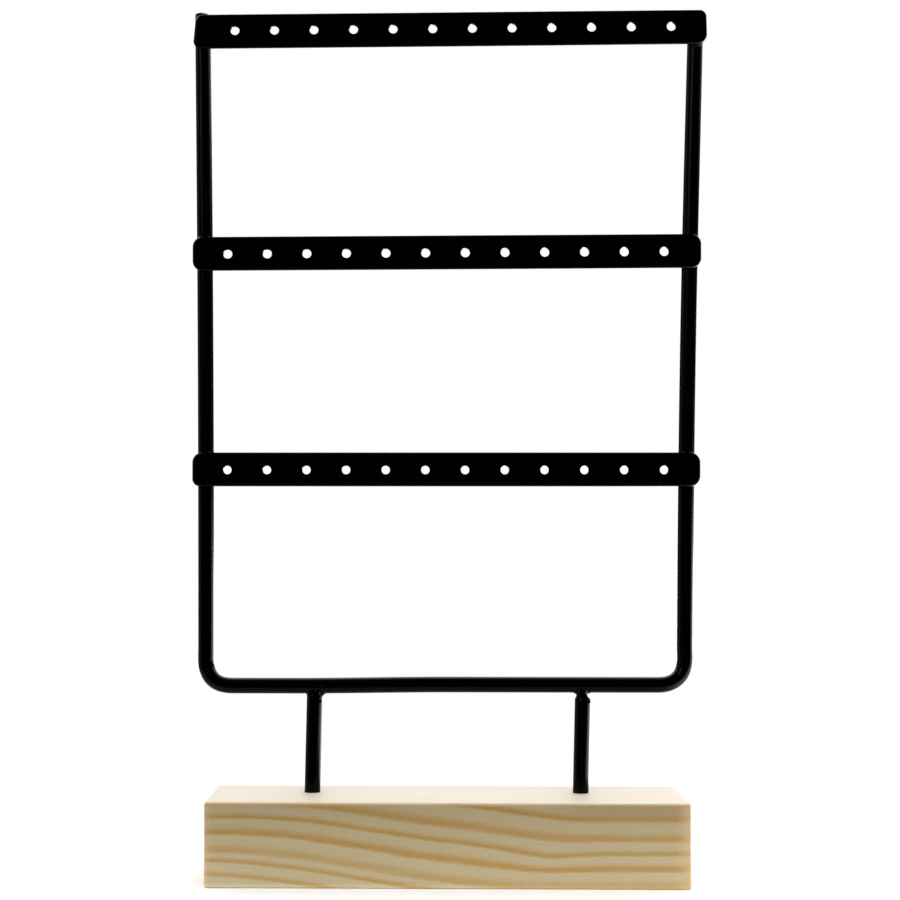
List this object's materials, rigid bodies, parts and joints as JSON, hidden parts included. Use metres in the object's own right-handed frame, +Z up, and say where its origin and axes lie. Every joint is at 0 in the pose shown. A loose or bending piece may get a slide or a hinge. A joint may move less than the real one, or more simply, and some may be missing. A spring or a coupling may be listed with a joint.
{
  "type": "earring display stand",
  "caption": "Tabletop earring stand: an upright black welded rod frame with punched flat cross bars, on short posts set in a pine block.",
  "frame": {"origin": "middle of the pine block's underside", "axes": "+Z up, +X to the right and -Y towards the viewer, who faces the punched bars"},
  "size_m": [0.1562, 0.04, 0.2626],
  "materials": {
    "pine": "sanded pine, bare or thinly oiled",
    "black_coat": "semi-gloss black powder coat"
  },
  "bodies": {
    "root": {"wood_base": "pine", "frame_rod": "black_coat", "bottom_bar": "black_coat", "middle_bar": "black_coat", "top_bar": "black_coat", "left_post": "black_coat", "right_post": "black_coat", "bottom_bar_left_weld": "black_coat", "bottom_bar_right_weld": "black_coat", "middle_bar_left_weld": "black_coat", "middle_bar_right_weld": "black_coat", "top_bar_left_weld": "black_coat", "top_bar_right_weld": "black_coat", "left_post_weld": "black_coat", "right_post_weld": "black_coat"}
  },
  "joints": []
}
